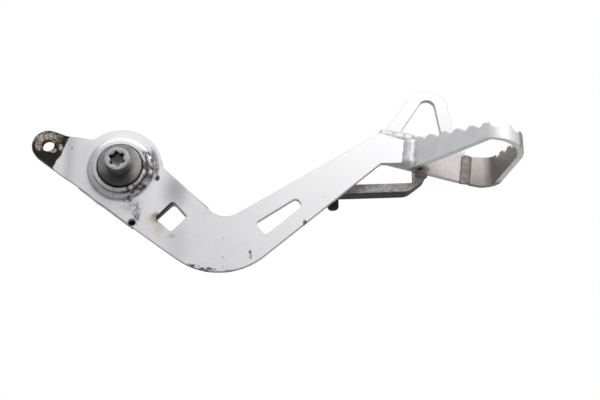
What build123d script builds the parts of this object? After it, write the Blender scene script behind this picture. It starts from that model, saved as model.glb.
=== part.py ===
import os
from math import asin, atan2, cos, degrees, hypot, pi, radians, sin, sqrt

from build123d import *

# Rear brake pedal: a stamped arm with an ear for the push rod, a pivot tube on its bolt,
# a guard hoop, a stop bar and a serrated tread loop bent from one steel strip.
# Millimetres. +X points forward to the tread, +Y inboard to the machine, +Z up. Y is counted
# from the arm plate's outer face while building. The finished pieces then move outboard,
# so that the origin is on the pivot axis where the sleeve's end seats on the machine.

# Sheet thicknesses and how far the arm is set in and out
arm_sheet = 3.3
backing_sheet = 3.3
hoop_sheet = 3.3
strip_sheet = 3.0
ear_set_in = 3.0
arm_set_out = 1.5
ear_bend_start = -29.5
ear_bend_end = -24.5
arm_bend_start = 20.0
arm_bend_end = 33.0
ear_bend_radius = 6.0
arm_bend_radius = 40.0

# Ear for the push rod
ear_back = 38.9
ear_up = 13.3
ear_radius = 8.3
ear_hole_radius = 3.2
link_dip_back = 25.5
link_dip_up = 17.2
link_dip_radius = 18.0

# Outline of the arm: four straight edges, each at an angle and a distance from the pivot.
# Its end is given from the end heel, where the front top edge stops.
boss_margin = 4.3
boss_blend_radius = 5.0
rear_fall = 43.2
rear_top_distance = 15.3
rear_low_fall = 35.9
rear_low_distance = 21.1
front_rise = 31.5
front_top_distance = 51.9
front_low_rise = 40.0
front_low_distance = 82.9
knee_top_radius = 12.0
knee_low_radius = 36.0
end_heel = 134.4
end_toe_ahead = 10.9
end_toe_down = 16.59
end_nose_ahead = 14.2
end_nose_down = 4.29
end_nose_radius = 1.4

# Relief notch in the lower edge, window behind the pivot and lightening slot
notch_forward = 6.8
notch_radius = 2.0
window_forward = 26.9
window_down = 25.9
window_length = 11.6
window_rear_height = 13.0
window_front_height = 11.6
window_angle = -45.0
window_corner = 1.8
slot_rear_forward = 72.0
slot_rear_down = 32.3
slot_front_forward = 90.0
slot_front_down = 18.7
slot_rear_width = 8.6
slot_front_width = 5.4
slot_rear_corner = 2.0
slot_front_corner = 2.4

# Backing plate
backing_rear = -22.0
backing_rear_up = 14.2
backing_top_front = 45.2
backing_top_proud = 1.3
backing_low_front = 33.0
backing_low_set_back = 1.2

# Pivot, from the bolt outwards
bolt_radius = 4.0
bolt_thread_relief = 0.1
bolt_neck_depth = 0.5
bolt_neck_length = 1.2
bolt_head_radius = 6.5
bolt_head_height = 8.0
bolt_head_chamfer = 0.6
bolt_end_length = 15.0
bolt_end_chamfer = 1.0
recess_core_radius = 2.85
recess_lobe_radius = 0.95
recess_lobe_reach = 3.05
recess_depth = 4.2
recess_turn = 98.0
sleeve_wall = 1.85
sleeve_bore_gap = 0.15
running_gap = 0.03
seat_gap = 0.02
end_play = 0.3
collar_thickness = 3.7
collar_chamfer = 0.5
tube_radius = 13.8
tube_outboard = 4.0
tube_inboard = 20.0
seal_pocket_wall = 1.9
seal_pocket_depth = 3.4
bush_body_length = 7.5
bush_wall = 2.47
bush_flange_gap = 0.5
bush_flange_thickness = 1.2
seal_thickness = 1.3
seal_width = 0.5
seal_lip_gap = 0.3
boss_ring_width = 3.0
boss_ring_height = 2.2
boss_ring_chamfer = 0.9
weld_gap = 0.1
tube_weld_leg = 3.0
tube_weld_taper = 38.0
tube_weld_facets = 36

# Guard hoop: legs at angles, the top arcs, and the lower plate that carries the tread.
# It, the tread and the stop bar are given from the arm's end heel, forward and up or down.
hoop_heel_ahead = 0.9
hoop_heel_down = 14.89
hoop_leg_foot_up = 2.01
hoop_leg_rise = 56.4
hoop_top_ahead = 25.5
hoop_top_up = 26.21
hoop_top_radius = 11.8
hoop_front_fall = 80.4
hoop_waist_up = 2.01
hoop_toe_ahead = 45.3
hoop_toe_down = 8.29
hoop_low_front_ahead = 43.5
hoop_low_front_down = 25.59
hoop_hole_sill_up = 0.0
hoop_leg_width = 6.8
hoop_front_width = 6.5
hoop_hole_top_radius = 4.4
hoop_hole_corner = 2.0

# Serrated tread loop: one strip bent twice
tread_start_gap = 3.4
tread_length = 45.8
tread_width = 43.6
near_corner_radius = 9.0
far_corner_radius = 7.5
corner_steps = 8
tread_lap_gap = 1.5
front_skew = 5.5
near_low_down = 19.09
near_low_end_down = 18.4
near_top_start_down = 2.39
near_top_end_down = 10.59
front_low_near_down = 25.29
front_top_near_down = 17.29
front_low_far_down = 27.49
front_top_far_down = 12.79
far_top_down = 11.29
far_low_end_down = 26.39
tooth_pitch = 9.0
tooth_depth = 1.9
first_valley = 9.2
near_valleys = 5
corner_valleys = 2
front_pitch = 10.2
front_first_valley = 4.0
front_valleys = 3
valley_radius = 3.1
tooth_round = 0.9

# Stop bar and its rubber buffer
bar_depth = 9.5
bar_height = 4.8
bar_rise = 2.7
bar_length = 48.2
bar_root_ahead = 18.8
bar_root_width = 6.8
bar_root_down = 25.09
bar_root_top_down = 13.49
bar_elbow_back = 3.6
bar_elbow_radius = 8.0
bar_elbow_rise = 8.0
buffer_from_tail = 4.8
buffer_radius = 3.05
buffer_length = 8.2
buffer_chamfer = 0.9
buffer_stem_radius = 2.0
buffer_stem_gap = 0.1
buffer_lip_radius = 2.8
buffer_lip_height = 1.6

# Weld beads, as half widths across and along the outboard direction
arm_end_bead = (3.7, 3.3)
hoop_bead = (2.4, 3.1)
lap_bead = (2.8, 1.4)
bar_bead = (1.9, 1.9)
bead_facets = 10
bead_overrun = 1.0
bead_set_out = 1.0

# Sizes and places worked out from the ones above
sleeve_radius = bolt_radius + sleeve_bore_gap + sleeve_wall
tube_bore_radius = sleeve_radius + running_gap + bush_wall
seal_pocket_radius = tube_radius - seal_pocket_wall
collar_radius = seal_pocket_radius - seal_width - seal_lip_gap
boss_ring_radius = tube_radius + boss_ring_width
boss_radius = boss_ring_radius + boss_margin
hoop_face = arm_sheet - arm_set_out
hoop_middle = hoop_face + hoop_sheet / 2
bar_face = hoop_face + hoop_sheet
backing_face = arm_sheet + backing_sheet
ear = (-ear_back, ear_up)


def layer(y):
    """The plane across the pivot axis at a distance y inboard, seen from outboard."""
    return Plane.XZ.offset(-y)


def end_layer(y):
    """The same plane with its middle at the arm's end heel."""
    return Plane(origin=(end_heel, y, heel_up), x_dir=(1, 0, 0), z_dir=(0, -1, 0))


def line_meet(angle_a, distance_a, angle_b, distance_b):
    """Where two lines meet, each given by its slope and its distance from the pivot."""
    ax, ay = -sin(radians(angle_a)), cos(radians(angle_a))
    bx, by = -sin(radians(angle_b)), cos(radians(angle_b))
    det = ax * by - ay * bx
    return ((distance_a * by - distance_b * ay) / det, (ax * distance_b - bx * distance_a) / det)


def on_line(angle, distance, forward):
    """The point of such a line at a distance forward of the pivot."""
    return (forward, (distance + forward * sin(radians(angle))) / cos(radians(angle)))


def through(point, angle):
    """Distance from the pivot of the line through a point at an angle."""
    return point[1] * cos(radians(angle)) - point[0] * sin(radians(angle))


# Corners of the arm's outline
top_foot = (rear_top_distance * sin(radians(rear_fall)), rear_top_distance * cos(radians(rear_fall)))
knee_top = line_meet(-rear_fall, rear_top_distance, front_rise, -front_top_distance)
knee_low = line_meet(-rear_low_fall, -rear_low_distance, front_low_rise, -front_low_distance)
heel_up = on_line(front_rise, -front_top_distance, end_heel)[1]
end_low = on_line(front_low_rise, -front_low_distance, end_heel)
notch = on_line(-rear_low_fall, -rear_low_distance, notch_forward)
link_dip = (-link_dip_back, link_dip_up)


def ear_tangent(corner, side):
    """Where the edge from a corner of the outline touches the ear's round end."""
    run, rise = corner[0] - ear[0], corner[1] - ear[1]
    swing = atan2(rise, run) + side * (pi / 2 - asin(ear_radius / hypot(run, rise)))
    return (ear[0] + ear_radius * cos(swing), ear[1] + ear_radius * sin(swing))


# The window's sides follow the arm's edges, and the slot tapers to a round front end
window_turn = radians(window_angle)
window_corners = [
    (
        window_forward + run * cos(window_turn) - side * sin(window_turn),
        -window_down + run * sin(window_turn) + side * cos(window_turn),
    )
    for run, side in (
        (-window_length / 2, -window_rear_height / 2),
        (window_length / 2, -window_front_height / 2),
        (window_length / 2, window_front_height / 2),
        (-window_length / 2, window_rear_height / 2),
    )
]
slot_rise = atan2(slot_rear_down - slot_front_down, slot_front_forward - slot_rear_forward)
slot_rear_half = slot_rear_width / 2
slot_front_half = slot_front_width / 2


def slot_corner(forward, down, run, side):
    """A point beside one end of the slot, measured along and across its centre line."""
    x = forward + run * cos(slot_rise) - side * sin(slot_rise)
    return (x, -down + run * sin(slot_rise) + side * cos(slot_rise))


slot_corners = [
    slot_corner(slot_rear_forward, slot_rear_down, 0, -slot_rear_half),
    slot_corner(slot_front_forward, slot_front_down, slot_front_half, -slot_front_half),
    slot_corner(slot_front_forward, slot_front_down, slot_front_half, slot_front_half),
    slot_corner(slot_rear_forward, slot_rear_down, 0, slot_rear_half),
]
slot_radii = [slot_rear_corner, slot_front_corner, slot_front_corner, slot_rear_corner]

# Arm plate
arm_reach = end_heel + 2 * end_nose_ahead
outboard_bends = [ear_bend_radius, ear_bend_radius + arm_sheet, arm_bend_radius, arm_bend_radius + arm_sheet]
inboard_bends = [ear_bend_radius + arm_sheet, ear_bend_radius, arm_bend_radius + arm_sheet, arm_bend_radius]
with BuildPart() as arm_plate:
    with BuildSketch(layer(0)) as arm_outline:
        with BuildLine():
            FilletPolyline(
                ear_tangent(link_dip, 1),
                link_dip,
                top_foot,
                knee_top,
                (end_heel, heel_up),
                (end_heel + end_nose_ahead, heel_up - end_nose_down),
                (end_heel + end_toe_ahead, heel_up - end_toe_down),
                end_low,
                knee_low,
                notch,
                ear_tangent(notch, -1),
                radius=[0, link_dip_radius, 0, knee_top_radius, 0, end_nose_radius, 0, 0, knee_low_radius, 0, 0],
                close=True,
            )
        make_face()
        with Locations(ear):
            Circle(ear_radius)
        Circle(boss_radius)
        joins = [v for v in arm_outline.vertices() if abs(hypot(v.X, v.Y) - boss_radius) < 0.01 and v.Y > 0]
        fillet(joins, boss_blend_radius)
        Circle(tube_radius + weld_gap, mode=Mode.SUBTRACT)
        with Locations(ear):
            Circle(ear_hole_radius, mode=Mode.SUBTRACT)
        with Locations((notch[0], notch[1] + notch_radius)):
            Circle(notch_radius, mode=Mode.SUBTRACT)
        with BuildLine():
            FilletPolyline(*window_corners, radius=window_corner, close=True)
        make_face(mode=Mode.SUBTRACT)
        with BuildLine():
            FilletPolyline(*slot_corners, radius=slot_radii, close=True)
        make_face(mode=Mode.SUBTRACT)
    extrude(amount=arm_set_out)
    extrude(arm_outline.sketch, amount=-(arm_sheet + ear_set_in))
    with BuildSketch(Plane.XY) as joggle:
        with BuildLine():
            FilletPolyline(
                (-ear_back - 2 * ear_radius, ear_set_in),
                (ear_bend_start, ear_set_in),
                (ear_bend_end, 0),
                (arm_bend_start, 0),
                (arm_bend_end, -arm_set_out),
                (arm_reach, -arm_set_out),
                (arm_reach, hoop_face),
                (arm_bend_end, hoop_face),
                (arm_bend_start, arm_sheet),
                (ear_bend_end, arm_sheet),
                (ear_bend_start, ear_set_in + arm_sheet),
                (-ear_back - 2 * ear_radius, ear_set_in + arm_sheet),
                radius=[0, *outboard_bends, 0, 0, *reversed(inboard_bends), 0],
                close=True,
            )
        make_face()
    extrude(amount=2 * front_low_distance, both=True, mode=Mode.INTERSECT)
arm_plate.part.label = "arm_plate"

# Backing plate behind the pivot, proud of the arm at the top front corner. Its lower edge is
# flush with the arm's behind the notch and set back from it in front.
backing_top_corner = on_line(-rear_fall, rear_top_distance + backing_top_proud, backing_top_front)
with BuildPart() as backing_plate:
    with BuildSketch(layer(arm_sheet)):
        with BuildLine():
            Polyline(
                (backing_rear, backing_rear_up),
                top_foot,
                backing_top_corner,
                on_line(-rear_low_fall, backing_low_set_back - rear_low_distance, backing_low_front),
                on_line(-rear_low_fall, backing_low_set_back - rear_low_distance, notch_forward),
                notch,
                ear_tangent(notch, -1),
                close=True,
            )
        make_face()
        Circle(boss_radius)
        with Locations((backing_rear, 0)):
            Rectangle(2 * ear_back, 4 * ear_back, align=(Align.MAX, Align.CENTER), mode=Mode.SUBTRACT)
        Circle(tube_radius + weld_gap, mode=Mode.SUBTRACT)
        with BuildLine():
            FilletPolyline(*window_corners, radius=window_corner, close=True)
        make_face(mode=Mode.SUBTRACT)
    extrude(amount=-backing_sheet)
backing_plate.part.label = "backing_plate"

# Pivot tube, with a pocket for a seal at each end
with BuildPart() as pivot_tube:
    with BuildSketch(layer(-tube_outboard)):
        Circle(tube_radius)
        Circle(tube_bore_radius, mode=Mode.SUBTRACT)
    extrude(amount=-(tube_outboard + tube_inboard))
    with BuildSketch(layer(-tube_outboard)):
        Circle(seal_pocket_radius)
    extrude(amount=-seal_pocket_depth, mode=Mode.SUBTRACT)
    with BuildSketch(layer(tube_inboard)):
        Circle(seal_pocket_radius)
    extrude(amount=seal_pocket_depth, mode=Mode.SUBTRACT)
pivot_tube.part.label = "pivot_tube"

# Ring welded round the tube on the outboard face
with BuildPart() as boss_ring:
    with BuildSketch(layer(0)):
        Circle(boss_ring_radius)
        Circle(tube_radius + weld_gap, mode=Mode.SUBTRACT)
    extrude(amount=boss_ring_height)
    rim = boss_ring.edges().filter_by(GeomType.CIRCLE).group_by(Axis.Y)[0].sort_by(SortBy.RADIUS)[-1]
    chamfer(rim, boss_ring_chamfer)
boss_ring.part.label = "boss_ring"

# Fillet weld round the tube on the inboard face
with BuildPart() as tube_weld:
    with BuildSketch(-layer(backing_face)):
        RegularPolygon(tube_radius + tube_weld_leg, tube_weld_facets)
    extrude(amount=tube_weld_leg, taper=tube_weld_taper)
    with BuildSketch(layer(backing_face)):
        Circle(tube_radius + weld_gap)
    extrude(amount=-tube_weld_leg, mode=Mode.SUBTRACT)
tube_weld.part.label = "tube_weld"


def make_bush(seat, inward, flanged):
    """A bush that reaches inward from a seal pocket's floor, with a flange on the floor if wanted."""
    with BuildPart() as bush:
        with BuildSketch(layer(seat)):
            Circle(tube_bore_radius - seat_gap)
        extrude(amount=-inward * bush_body_length)
        if flanged:
            with BuildSketch(layer(seat)):
                Circle(seal_pocket_radius - bush_flange_gap)
            extrude(amount=inward * bush_flange_thickness)
        with BuildSketch(layer(seat)):
            Circle(sleeve_radius + running_gap)
        extrude(amount=bush_body_length, both=True, mode=Mode.SUBTRACT)
    return bush.part


def make_seal(floor, outward, lip_radius):
    """A dust seal in a pocket, on its floor or the bush's flange, just clear of what it wipes."""
    with BuildPart() as seal:
        with BuildSketch(layer(floor)):
            Circle(seal_pocket_radius - seat_gap)
            Circle(lip_radius + seal_lip_gap, mode=Mode.SUBTRACT)
        extrude(amount=outward * seal_thickness)
    return seal.part


outboard_seat = -tube_outboard + seal_pocket_depth
inboard_seat = tube_inboard - seal_pocket_depth
bush_outboard = make_bush(outboard_seat, 1, True)
bush_outboard.label = "bush_outboard"
bush_inboard = make_bush(inboard_seat, -1, False)
bush_inboard.label = "bush_inboard"
seal_outboard = make_seal(outboard_seat - bush_flange_thickness, 1, collar_radius)
seal_outboard.label = "seal_outboard"
seal_inboard = make_seal(inboard_seat, -1, sleeve_radius)
seal_inboard.label = "seal_inboard"

# Collar under the bolt head, held clear of the outboard bush by the sleeve
collar_inner_face = outboard_seat - bush_flange_thickness - end_play
collar_outer_face = collar_inner_face - collar_thickness
with BuildPart() as pivot_collar:
    with BuildSketch(layer(collar_inner_face)):
        Circle(collar_radius)
        Circle(bolt_radius + sleeve_bore_gap, mode=Mode.SUBTRACT)
    extrude(amount=collar_thickness)
    face = pivot_collar.edges().filter_by(GeomType.CIRCLE).group_by(Axis.Y)[0].sort_by(SortBy.RADIUS)[-1]
    chamfer(face, collar_chamfer)
pivot_collar.part.label = "pivot_collar"

# Sleeve that the bushes turn on
sleeve_end = tube_inboard + end_play
with BuildPart() as pivot_sleeve:
    with BuildSketch(layer(sleeve_end)):
        Circle(sleeve_radius)
        Circle(bolt_radius + sleeve_bore_gap, mode=Mode.SUBTRACT)
    extrude(amount=sleeve_end - collar_inner_face)
pivot_sleeve.part.label = "pivot_sleeve"

# Pivot bolt with a six-lobe socket
bolt_tip = sleeve_end + bolt_end_length
with BuildPart() as pivot_bolt:
    with BuildSketch(layer(bolt_tip)):
        Circle(bolt_radius - bolt_thread_relief)
    extrude(amount=bolt_end_length)
    chamfer(pivot_bolt.edges().filter_by(GeomType.CIRCLE).sort_by(Axis.Y)[-1], bolt_end_chamfer)
    with BuildSketch(layer(sleeve_end)):
        Circle(bolt_radius - bolt_neck_depth)
    extrude(amount=bolt_neck_length)
    with BuildSketch(layer(sleeve_end - bolt_neck_length)):
        Circle(bolt_radius)
    extrude(amount=sleeve_end - bolt_neck_length - collar_outer_face)
    with BuildSketch(layer(collar_outer_face)):
        Circle(bolt_head_radius)
    extrude(amount=bolt_head_height)
    chamfer(pivot_bolt.edges().filter_by(GeomType.CIRCLE).sort_by(Axis.Y)[0], bolt_head_chamfer)
    with BuildSketch(layer(collar_outer_face - bolt_head_height)):
        Circle(recess_core_radius)
        with PolarLocations(recess_lobe_reach, 6, start_angle=recess_turn):
            Circle(recess_lobe_radius)
    extrude(amount=-recess_depth, mode=Mode.SUBTRACT)
pivot_bolt.part.label = "pivot_bolt"

# Guard hoop
crown_centre = (hoop_top_ahead, hoop_top_up - hoop_top_radius)
front_distance = through(crown_centre, -hoop_front_fall) + hoop_top_radius
leg_distance = through(crown_centre, hoop_leg_rise) + hoop_top_radius
crown = line_meet(hoop_leg_rise, leg_distance, -hoop_front_fall, front_distance)
hole_leg_distance = leg_distance - hoop_leg_width
hole_front_distance = front_distance - hoop_front_width
hole_crown = line_meet(hoop_leg_rise, hole_leg_distance, -hoop_front_fall, hole_front_distance)
hoop_heel = (hoop_heel_ahead, -hoop_heel_down)
hoop_toe = (hoop_toe_ahead, -hoop_toe_down)
hoop_low_front = (hoop_low_front_ahead, -hoop_low_front_down)


def at_height(angle, distance, up):
    """The point of a line where it crosses a height."""
    return ((up * cos(radians(angle)) - distance) / sin(radians(angle)), up)


with BuildPart() as guard_hoop:
    with BuildSketch(end_layer(hoop_face)):
        with BuildLine():
            FilletPolyline(
                hoop_heel,
                at_height(hoop_leg_rise, leg_distance, hoop_leg_foot_up),
                crown,
                at_height(-hoop_front_fall, front_distance, hoop_waist_up),
                hoop_toe,
                hoop_low_front,
                radius=[0, 0, hoop_top_radius, 0, 0, 0],
                close=True,
            )
        make_face()
        with BuildLine():
            FilletPolyline(
                at_height(hoop_leg_rise, hole_leg_distance, hoop_hole_sill_up),
                hole_crown,
                at_height(-hoop_front_fall, hole_front_distance, hoop_hole_sill_up),
                radius=[hoop_hole_corner, hoop_hole_top_radius, hoop_hole_corner],
                close=True,
            )
        make_face(mode=Mode.SUBTRACT)
    extrude(amount=-hoop_sheet)
guard_hoop.part.label = "guard_hoop"

# Tread loop. Its centre line in plan leaves the arm's end outboard, rounds the near corner,
# comes back along the front and rounds the far corner to the hoop's plane.
tread_start = end_nose_ahead + tread_start_gap
corner_centre = (tread_start + tread_length - near_corner_radius, tread_width - near_corner_radius)
run_out = corner_centre[0] - tread_start
swing_out = hypot(run_out, corner_centre[1])
near_angle = atan2(corner_centre[1], run_out) + asin(near_corner_radius / swing_out)
near_length = sqrt(swing_out**2 - near_corner_radius**2)
front_angle = -pi / 2 - radians(front_skew)
front_out = (-sin(front_angle), cos(front_angle))
corner_turn = near_angle - front_angle
near_slope = (near_top_end_down - near_top_start_down) / near_length
far_up = far_corner_radius - hoop_middle
far_gap = near_corner_radius - far_corner_radius + (corner_centre[1] - far_up) * front_out[1]
far_centre = (corner_centre[0] + far_gap / front_out[0], far_up)
front_run = (far_centre[0] - corner_centre[0], far_centre[1] - corner_centre[1])
front_length = front_run[0] * cos(front_angle) + front_run[1] * sin(front_angle)
front_foot = [corner_centre[i] + near_corner_radius * front_out[i] for i in range(2)]
front_top_slope = (front_top_near_down - front_top_far_down) / front_length
valley_centre = valley_radius - tooth_depth


def upright(point, heading):
    """A vertical plane across the strip at a plan point (forward, outboard), facing along a heading."""
    ahead = Vector(cos(heading), -sin(heading), 0)
    return Plane(origin=(end_heel + point[0], -point[1], heel_up), x_dir=Vector(0, 0, 1).cross(ahead), z_dir=ahead)


def along(point, heading):
    """A vertical plane in the strip's middle at a plan point, with its x along a heading."""
    ahead = Vector(cos(heading), -sin(heading), 0)
    return Plane(origin=(end_heel + point[0], -point[1], heel_up), x_dir=ahead, z_dir=ahead.cross(Vector(0, 0, 1)))


def round_corner(centre, radius, heading, turn, start, end, steps):
    """Sections (point, heading, low, top) of the strip as it turns right round a centre."""
    for step in range(steps + 1):
        share = step / steps
        now = heading - turn * share
        point = (centre[0] - radius * sin(now), centre[1] + radius * cos(now))
        yield point, now, start[0] + share * (end[0] - start[0]), start[1] + share * (end[1] - start[1])


with BuildPart() as tread_strip:
    # Near blade, cut off where it meets the hoop's outboard face
    root = -2 * strip_sheet
    with BuildSketch(along((tread_start, 0), near_angle)) as near_blade:
        with BuildLine():
            Polyline(
                (root, -near_low_down),
                (near_length, -near_low_end_down),
                (near_length, -near_top_end_down),
                (root, -near_top_start_down - near_slope * root),
                close=True,
            )
        make_face()
        valleys = [first_valley + tooth_pitch * i for i in range(near_valleys)]
        with Locations(*[(s, -near_top_start_down - near_slope * s + valley_centre) for s in valleys]):
            Circle(valley_radius, mode=Mode.SUBTRACT)
        crests = near_blade.vertices().filter_by_position(Axis.Y, -near_low_down / 2 - near_top_end_down / 2, 0)
        fillet(crests.sort_by(Axis.X)[1:-1], tooth_round)
    extrude(amount=strip_sheet / 2, both=True)
    with BuildSketch(end_layer(hoop_face)):
        with Locations((tread_start, 0)):
            Rectangle(2 * near_length, 2 * tread_width)
    extrude(amount=-near_length, mode=Mode.SUBTRACT)

    # Near corner, where the strip also drops to the height of its front
    near_end = (-near_low_end_down, -near_top_end_down)
    front_start = (-front_low_near_down, -front_top_near_down)
    for point, heading, low, top in round_corner(
        corner_centre, near_corner_radius, near_angle, corner_turn, near_end, front_start, corner_steps
    ):
        with BuildSketch(upright(point, heading)):
            with Locations((0, (low + top) / 2)):
                Rectangle(strip_sheet, top - low)
    loft(ruled=True)
    for i in range(corner_valleys):
        travel = first_valley + tooth_pitch * (near_valleys + i) - near_length
        share = travel / (near_corner_radius * corner_turn)
        heading = near_angle - travel / near_corner_radius
        point = (
            corner_centre[0] - near_corner_radius * sin(heading),
            corner_centre[1] + near_corner_radius * cos(heading),
        )
        crest = -near_top_end_down + share * (near_top_end_down - front_top_near_down)
        with BuildSketch(along(point, heading)):
            with Locations((0, crest + valley_centre)):
                Circle(valley_radius)
        extrude(amount=strip_sheet, both=True, mode=Mode.SUBTRACT)

    # Front blade, whose teeth face forward
    with BuildSketch(along(front_foot, front_angle)) as front_blade:
        with BuildLine():
            Polyline(
                (0, -front_low_near_down),
                (front_length, -front_low_far_down),
                (front_length, -front_top_far_down),
                (0, -front_top_near_down),
                close=True,
            )
        make_face()
        valleys = [front_first_valley + front_pitch * i for i in range(front_valleys)]
        with Locations(*[(s, -front_top_near_down + front_top_slope * s + valley_centre) for s in valleys]):
            Circle(valley_radius, mode=Mode.SUBTRACT)
        crests = front_blade.vertices().sort_by(Axis.X)[2:-2]
        fillet(crests, tooth_round)
    extrude(amount=strip_sheet / 2, both=True)

    # Far corner and the end that meets the hoop's lower plate
    far_start = (-front_low_far_down, -front_top_far_down)
    far_end = (-front_low_far_down, -far_top_down)
    for point, heading, low, top in round_corner(
        far_centre, far_corner_radius, front_angle, front_angle + pi, far_start, far_end, corner_steps
    ):
        with BuildSketch(upright(point, heading)):
            with Locations((0, (low + top) / 2)):
                Rectangle(strip_sheet, top - low)
    loft(ruled=True)
    tread_end = hoop_toe_ahead + tread_lap_gap
    with BuildSketch(end_layer(hoop_middle - strip_sheet / 2)):
        with BuildLine():
            Polyline(
                (far_centre[0], -front_low_far_down),
                (far_centre[0], -far_top_down),
                (tread_end, -far_top_down),
                (tread_end, -far_low_end_down),
                close=True,
            )
        make_face()
    extrude(amount=-strip_sheet)
tread_strip.part.label = "tread_strip"

# Stop bar, cut from plate and lapped on the hoop's inboard face, with a hole for the buffer's stem
bar_root_front = bar_root_ahead + bar_root_width
bar_tail = bar_root_ahead - bar_length
bar_line = through((bar_root_ahead, -bar_root_down), bar_rise)
bar_low_line = bar_line - bar_height
buffer_foot = on_line(bar_rise, bar_low_line, bar_tail + buffer_from_tail)
buffer_seat = Plane(
    origin=(end_heel + buffer_foot[0], bar_face + bar_depth / 2, heel_up + buffer_foot[1]),
    x_dir=(cos(radians(bar_rise)), 0, sin(radians(bar_rise))),
    z_dir=(-sin(radians(bar_rise)), 0, cos(radians(bar_rise))),
)
with BuildPart() as stop_bar:
    with BuildSketch(end_layer(bar_face)):
        with BuildLine():
            FilletPolyline(
                on_line(bar_rise, bar_line, bar_tail),
                on_line(bar_rise, bar_line, bar_root_ahead),
                (bar_root_ahead, -bar_root_top_down),
                (bar_root_front, -bar_root_top_down),
                (bar_root_front, bar_elbow_rise - bar_root_down - bar_height),
                on_line(bar_rise, bar_low_line, bar_root_ahead - bar_elbow_back),
                on_line(bar_rise, bar_low_line, bar_tail),
                radius=[0, 0, 0, 0, bar_elbow_radius, bar_elbow_radius, 0],
                close=True,
            )
        make_face()
    extrude(amount=-bar_depth)
    with BuildSketch(buffer_seat):
        Circle(buffer_stem_radius + buffer_stem_gap)
    extrude(amount=bar_height, mode=Mode.SUBTRACT)
stop_bar.part.label = "stop_bar"

# Rubber buffer, pushed into the bar from below and held by the lip above it
buffer_neck = bar_height + buffer_stem_gap
with BuildPart() as stop_buffer:
    with BuildSketch(Plane(origin=buffer_seat.origin, x_dir=buffer_seat.x_dir, z_dir=(0, -1, 0))):
        with BuildLine():
            Polyline(
                (0, -buffer_length),
                (buffer_radius - buffer_chamfer, -buffer_length),
                (buffer_radius, buffer_chamfer - buffer_length),
                (buffer_radius, -buffer_stem_gap),
                (buffer_stem_radius, -buffer_stem_gap),
                (buffer_stem_radius, buffer_neck),
                (buffer_lip_radius, buffer_neck),
                (buffer_lip_radius, buffer_neck + buffer_lip_height),
                (0, buffer_neck + buffer_lip_height),
                close=True,
            )
        make_face()
    revolve(axis=Axis(buffer_seat.origin, buffer_seat.z_dir))
stop_buffer.part.label = "stop_buffer"


def make_bead(start, end, size, *neighbours):
    """A weld bead: a bar of oval section between two points given from the arm's end heel,
    less the pieces that it joins."""
    origin = Vector(*start) + Vector(end_heel, 0, heel_up)
    run = Vector(*end) - Vector(*start)
    turns = [2 * pi * (i + 0.5) / bead_facets for i in range(bead_facets)]
    with BuildPart() as bead:
        with BuildSketch(Plane(origin=origin, x_dir=run.cross(Vector(0, -1, 0)), z_dir=run)):
            with BuildLine():
                Polyline(*[(size[0] * cos(turn), size[1] * sin(turn)) for turn in turns], close=True)
            make_face()
        extrude(amount=run.length)
        for neighbour in neighbours:
            add(neighbour, mode=Mode.SUBTRACT)
    return bead.part.solids().sort_by(SortBy.VOLUME)[-1]


# Weld beads: up the arm's end, along its top edge, down the tread's lap and under the hoop at the bar
bead_y = hoop_face - bead_set_out
arm_end_weld = make_bead(
    ((end_toe_ahead + tread_start) / 2, bead_y, -end_toe_down - bead_overrun),
    ((end_nose_ahead + tread_start) / 2, bead_y, -end_nose_down + bead_overrun),
    arm_end_bead,
    arm_plate.part,
    guard_hoop.part,
    tread_strip.part,
)
hoop_weld = make_bead(
    (0, bead_y, 0),
    (tread_start, bead_y, -near_top_start_down),
    hoop_bead,
    arm_plate.part,
    guard_hoop.part,
    tread_strip.part,
    arm_end_weld,
)
lap_weld = make_bead(
    ((hoop_low_front_ahead + tread_end) / 2, hoop_face, -far_low_end_down),
    ((hoop_toe_ahead + tread_end) / 2, hoop_face, -far_top_down + bead_overrun),
    lap_bead,
    guard_hoop.part,
    tread_strip.part,
)
hoop_low_fall = degrees(atan2(hoop_low_front_down - hoop_heel_down, hoop_low_front_ahead - hoop_heel_ahead))
hoop_low_line = through(hoop_heel, -hoop_low_fall)
rear_foot = on_line(-hoop_low_fall, hoop_low_line, bar_root_ahead)
front_toe = on_line(-hoop_low_fall, hoop_low_line, bar_root_front)
bar_weld = make_bead(
    (rear_foot[0], bar_face, rear_foot[1]),
    (front_toe[0], bar_face, front_toe[1]),
    bar_bead,
    guard_hoop.part,
    stop_bar.part,
)
for bead, name in (
    (arm_end_weld, "arm_end_weld"),
    (hoop_weld, "hoop_weld"),
    (lap_weld, "lap_weld"),
    (bar_weld, "bar_weld"),
):
    bead.label = name

pieces = [arm_plate, backing_plate, pivot_tube, boss_ring, tube_weld, pivot_collar, pivot_sleeve, pivot_bolt]
pieces += [guard_hoop, tread_strip, stop_bar, stop_buffer]
solids = [piece.part for piece in pieces]
solids += [bush_outboard, bush_inboard, seal_outboard, seal_inboard]
solids += [arm_end_weld, hoop_weld, lap_weld, bar_weld]
os.makedirs("parts", exist_ok=True)
for solid in solids:
    piece = Pos(0, -sleeve_end, 0) * solid
    piece.label = solid.label
    export_step(piece, f"parts/{piece.label}.step")
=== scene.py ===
import math

import bmesh
import bpy
from mathutils import Matrix, Vector, noise


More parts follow.
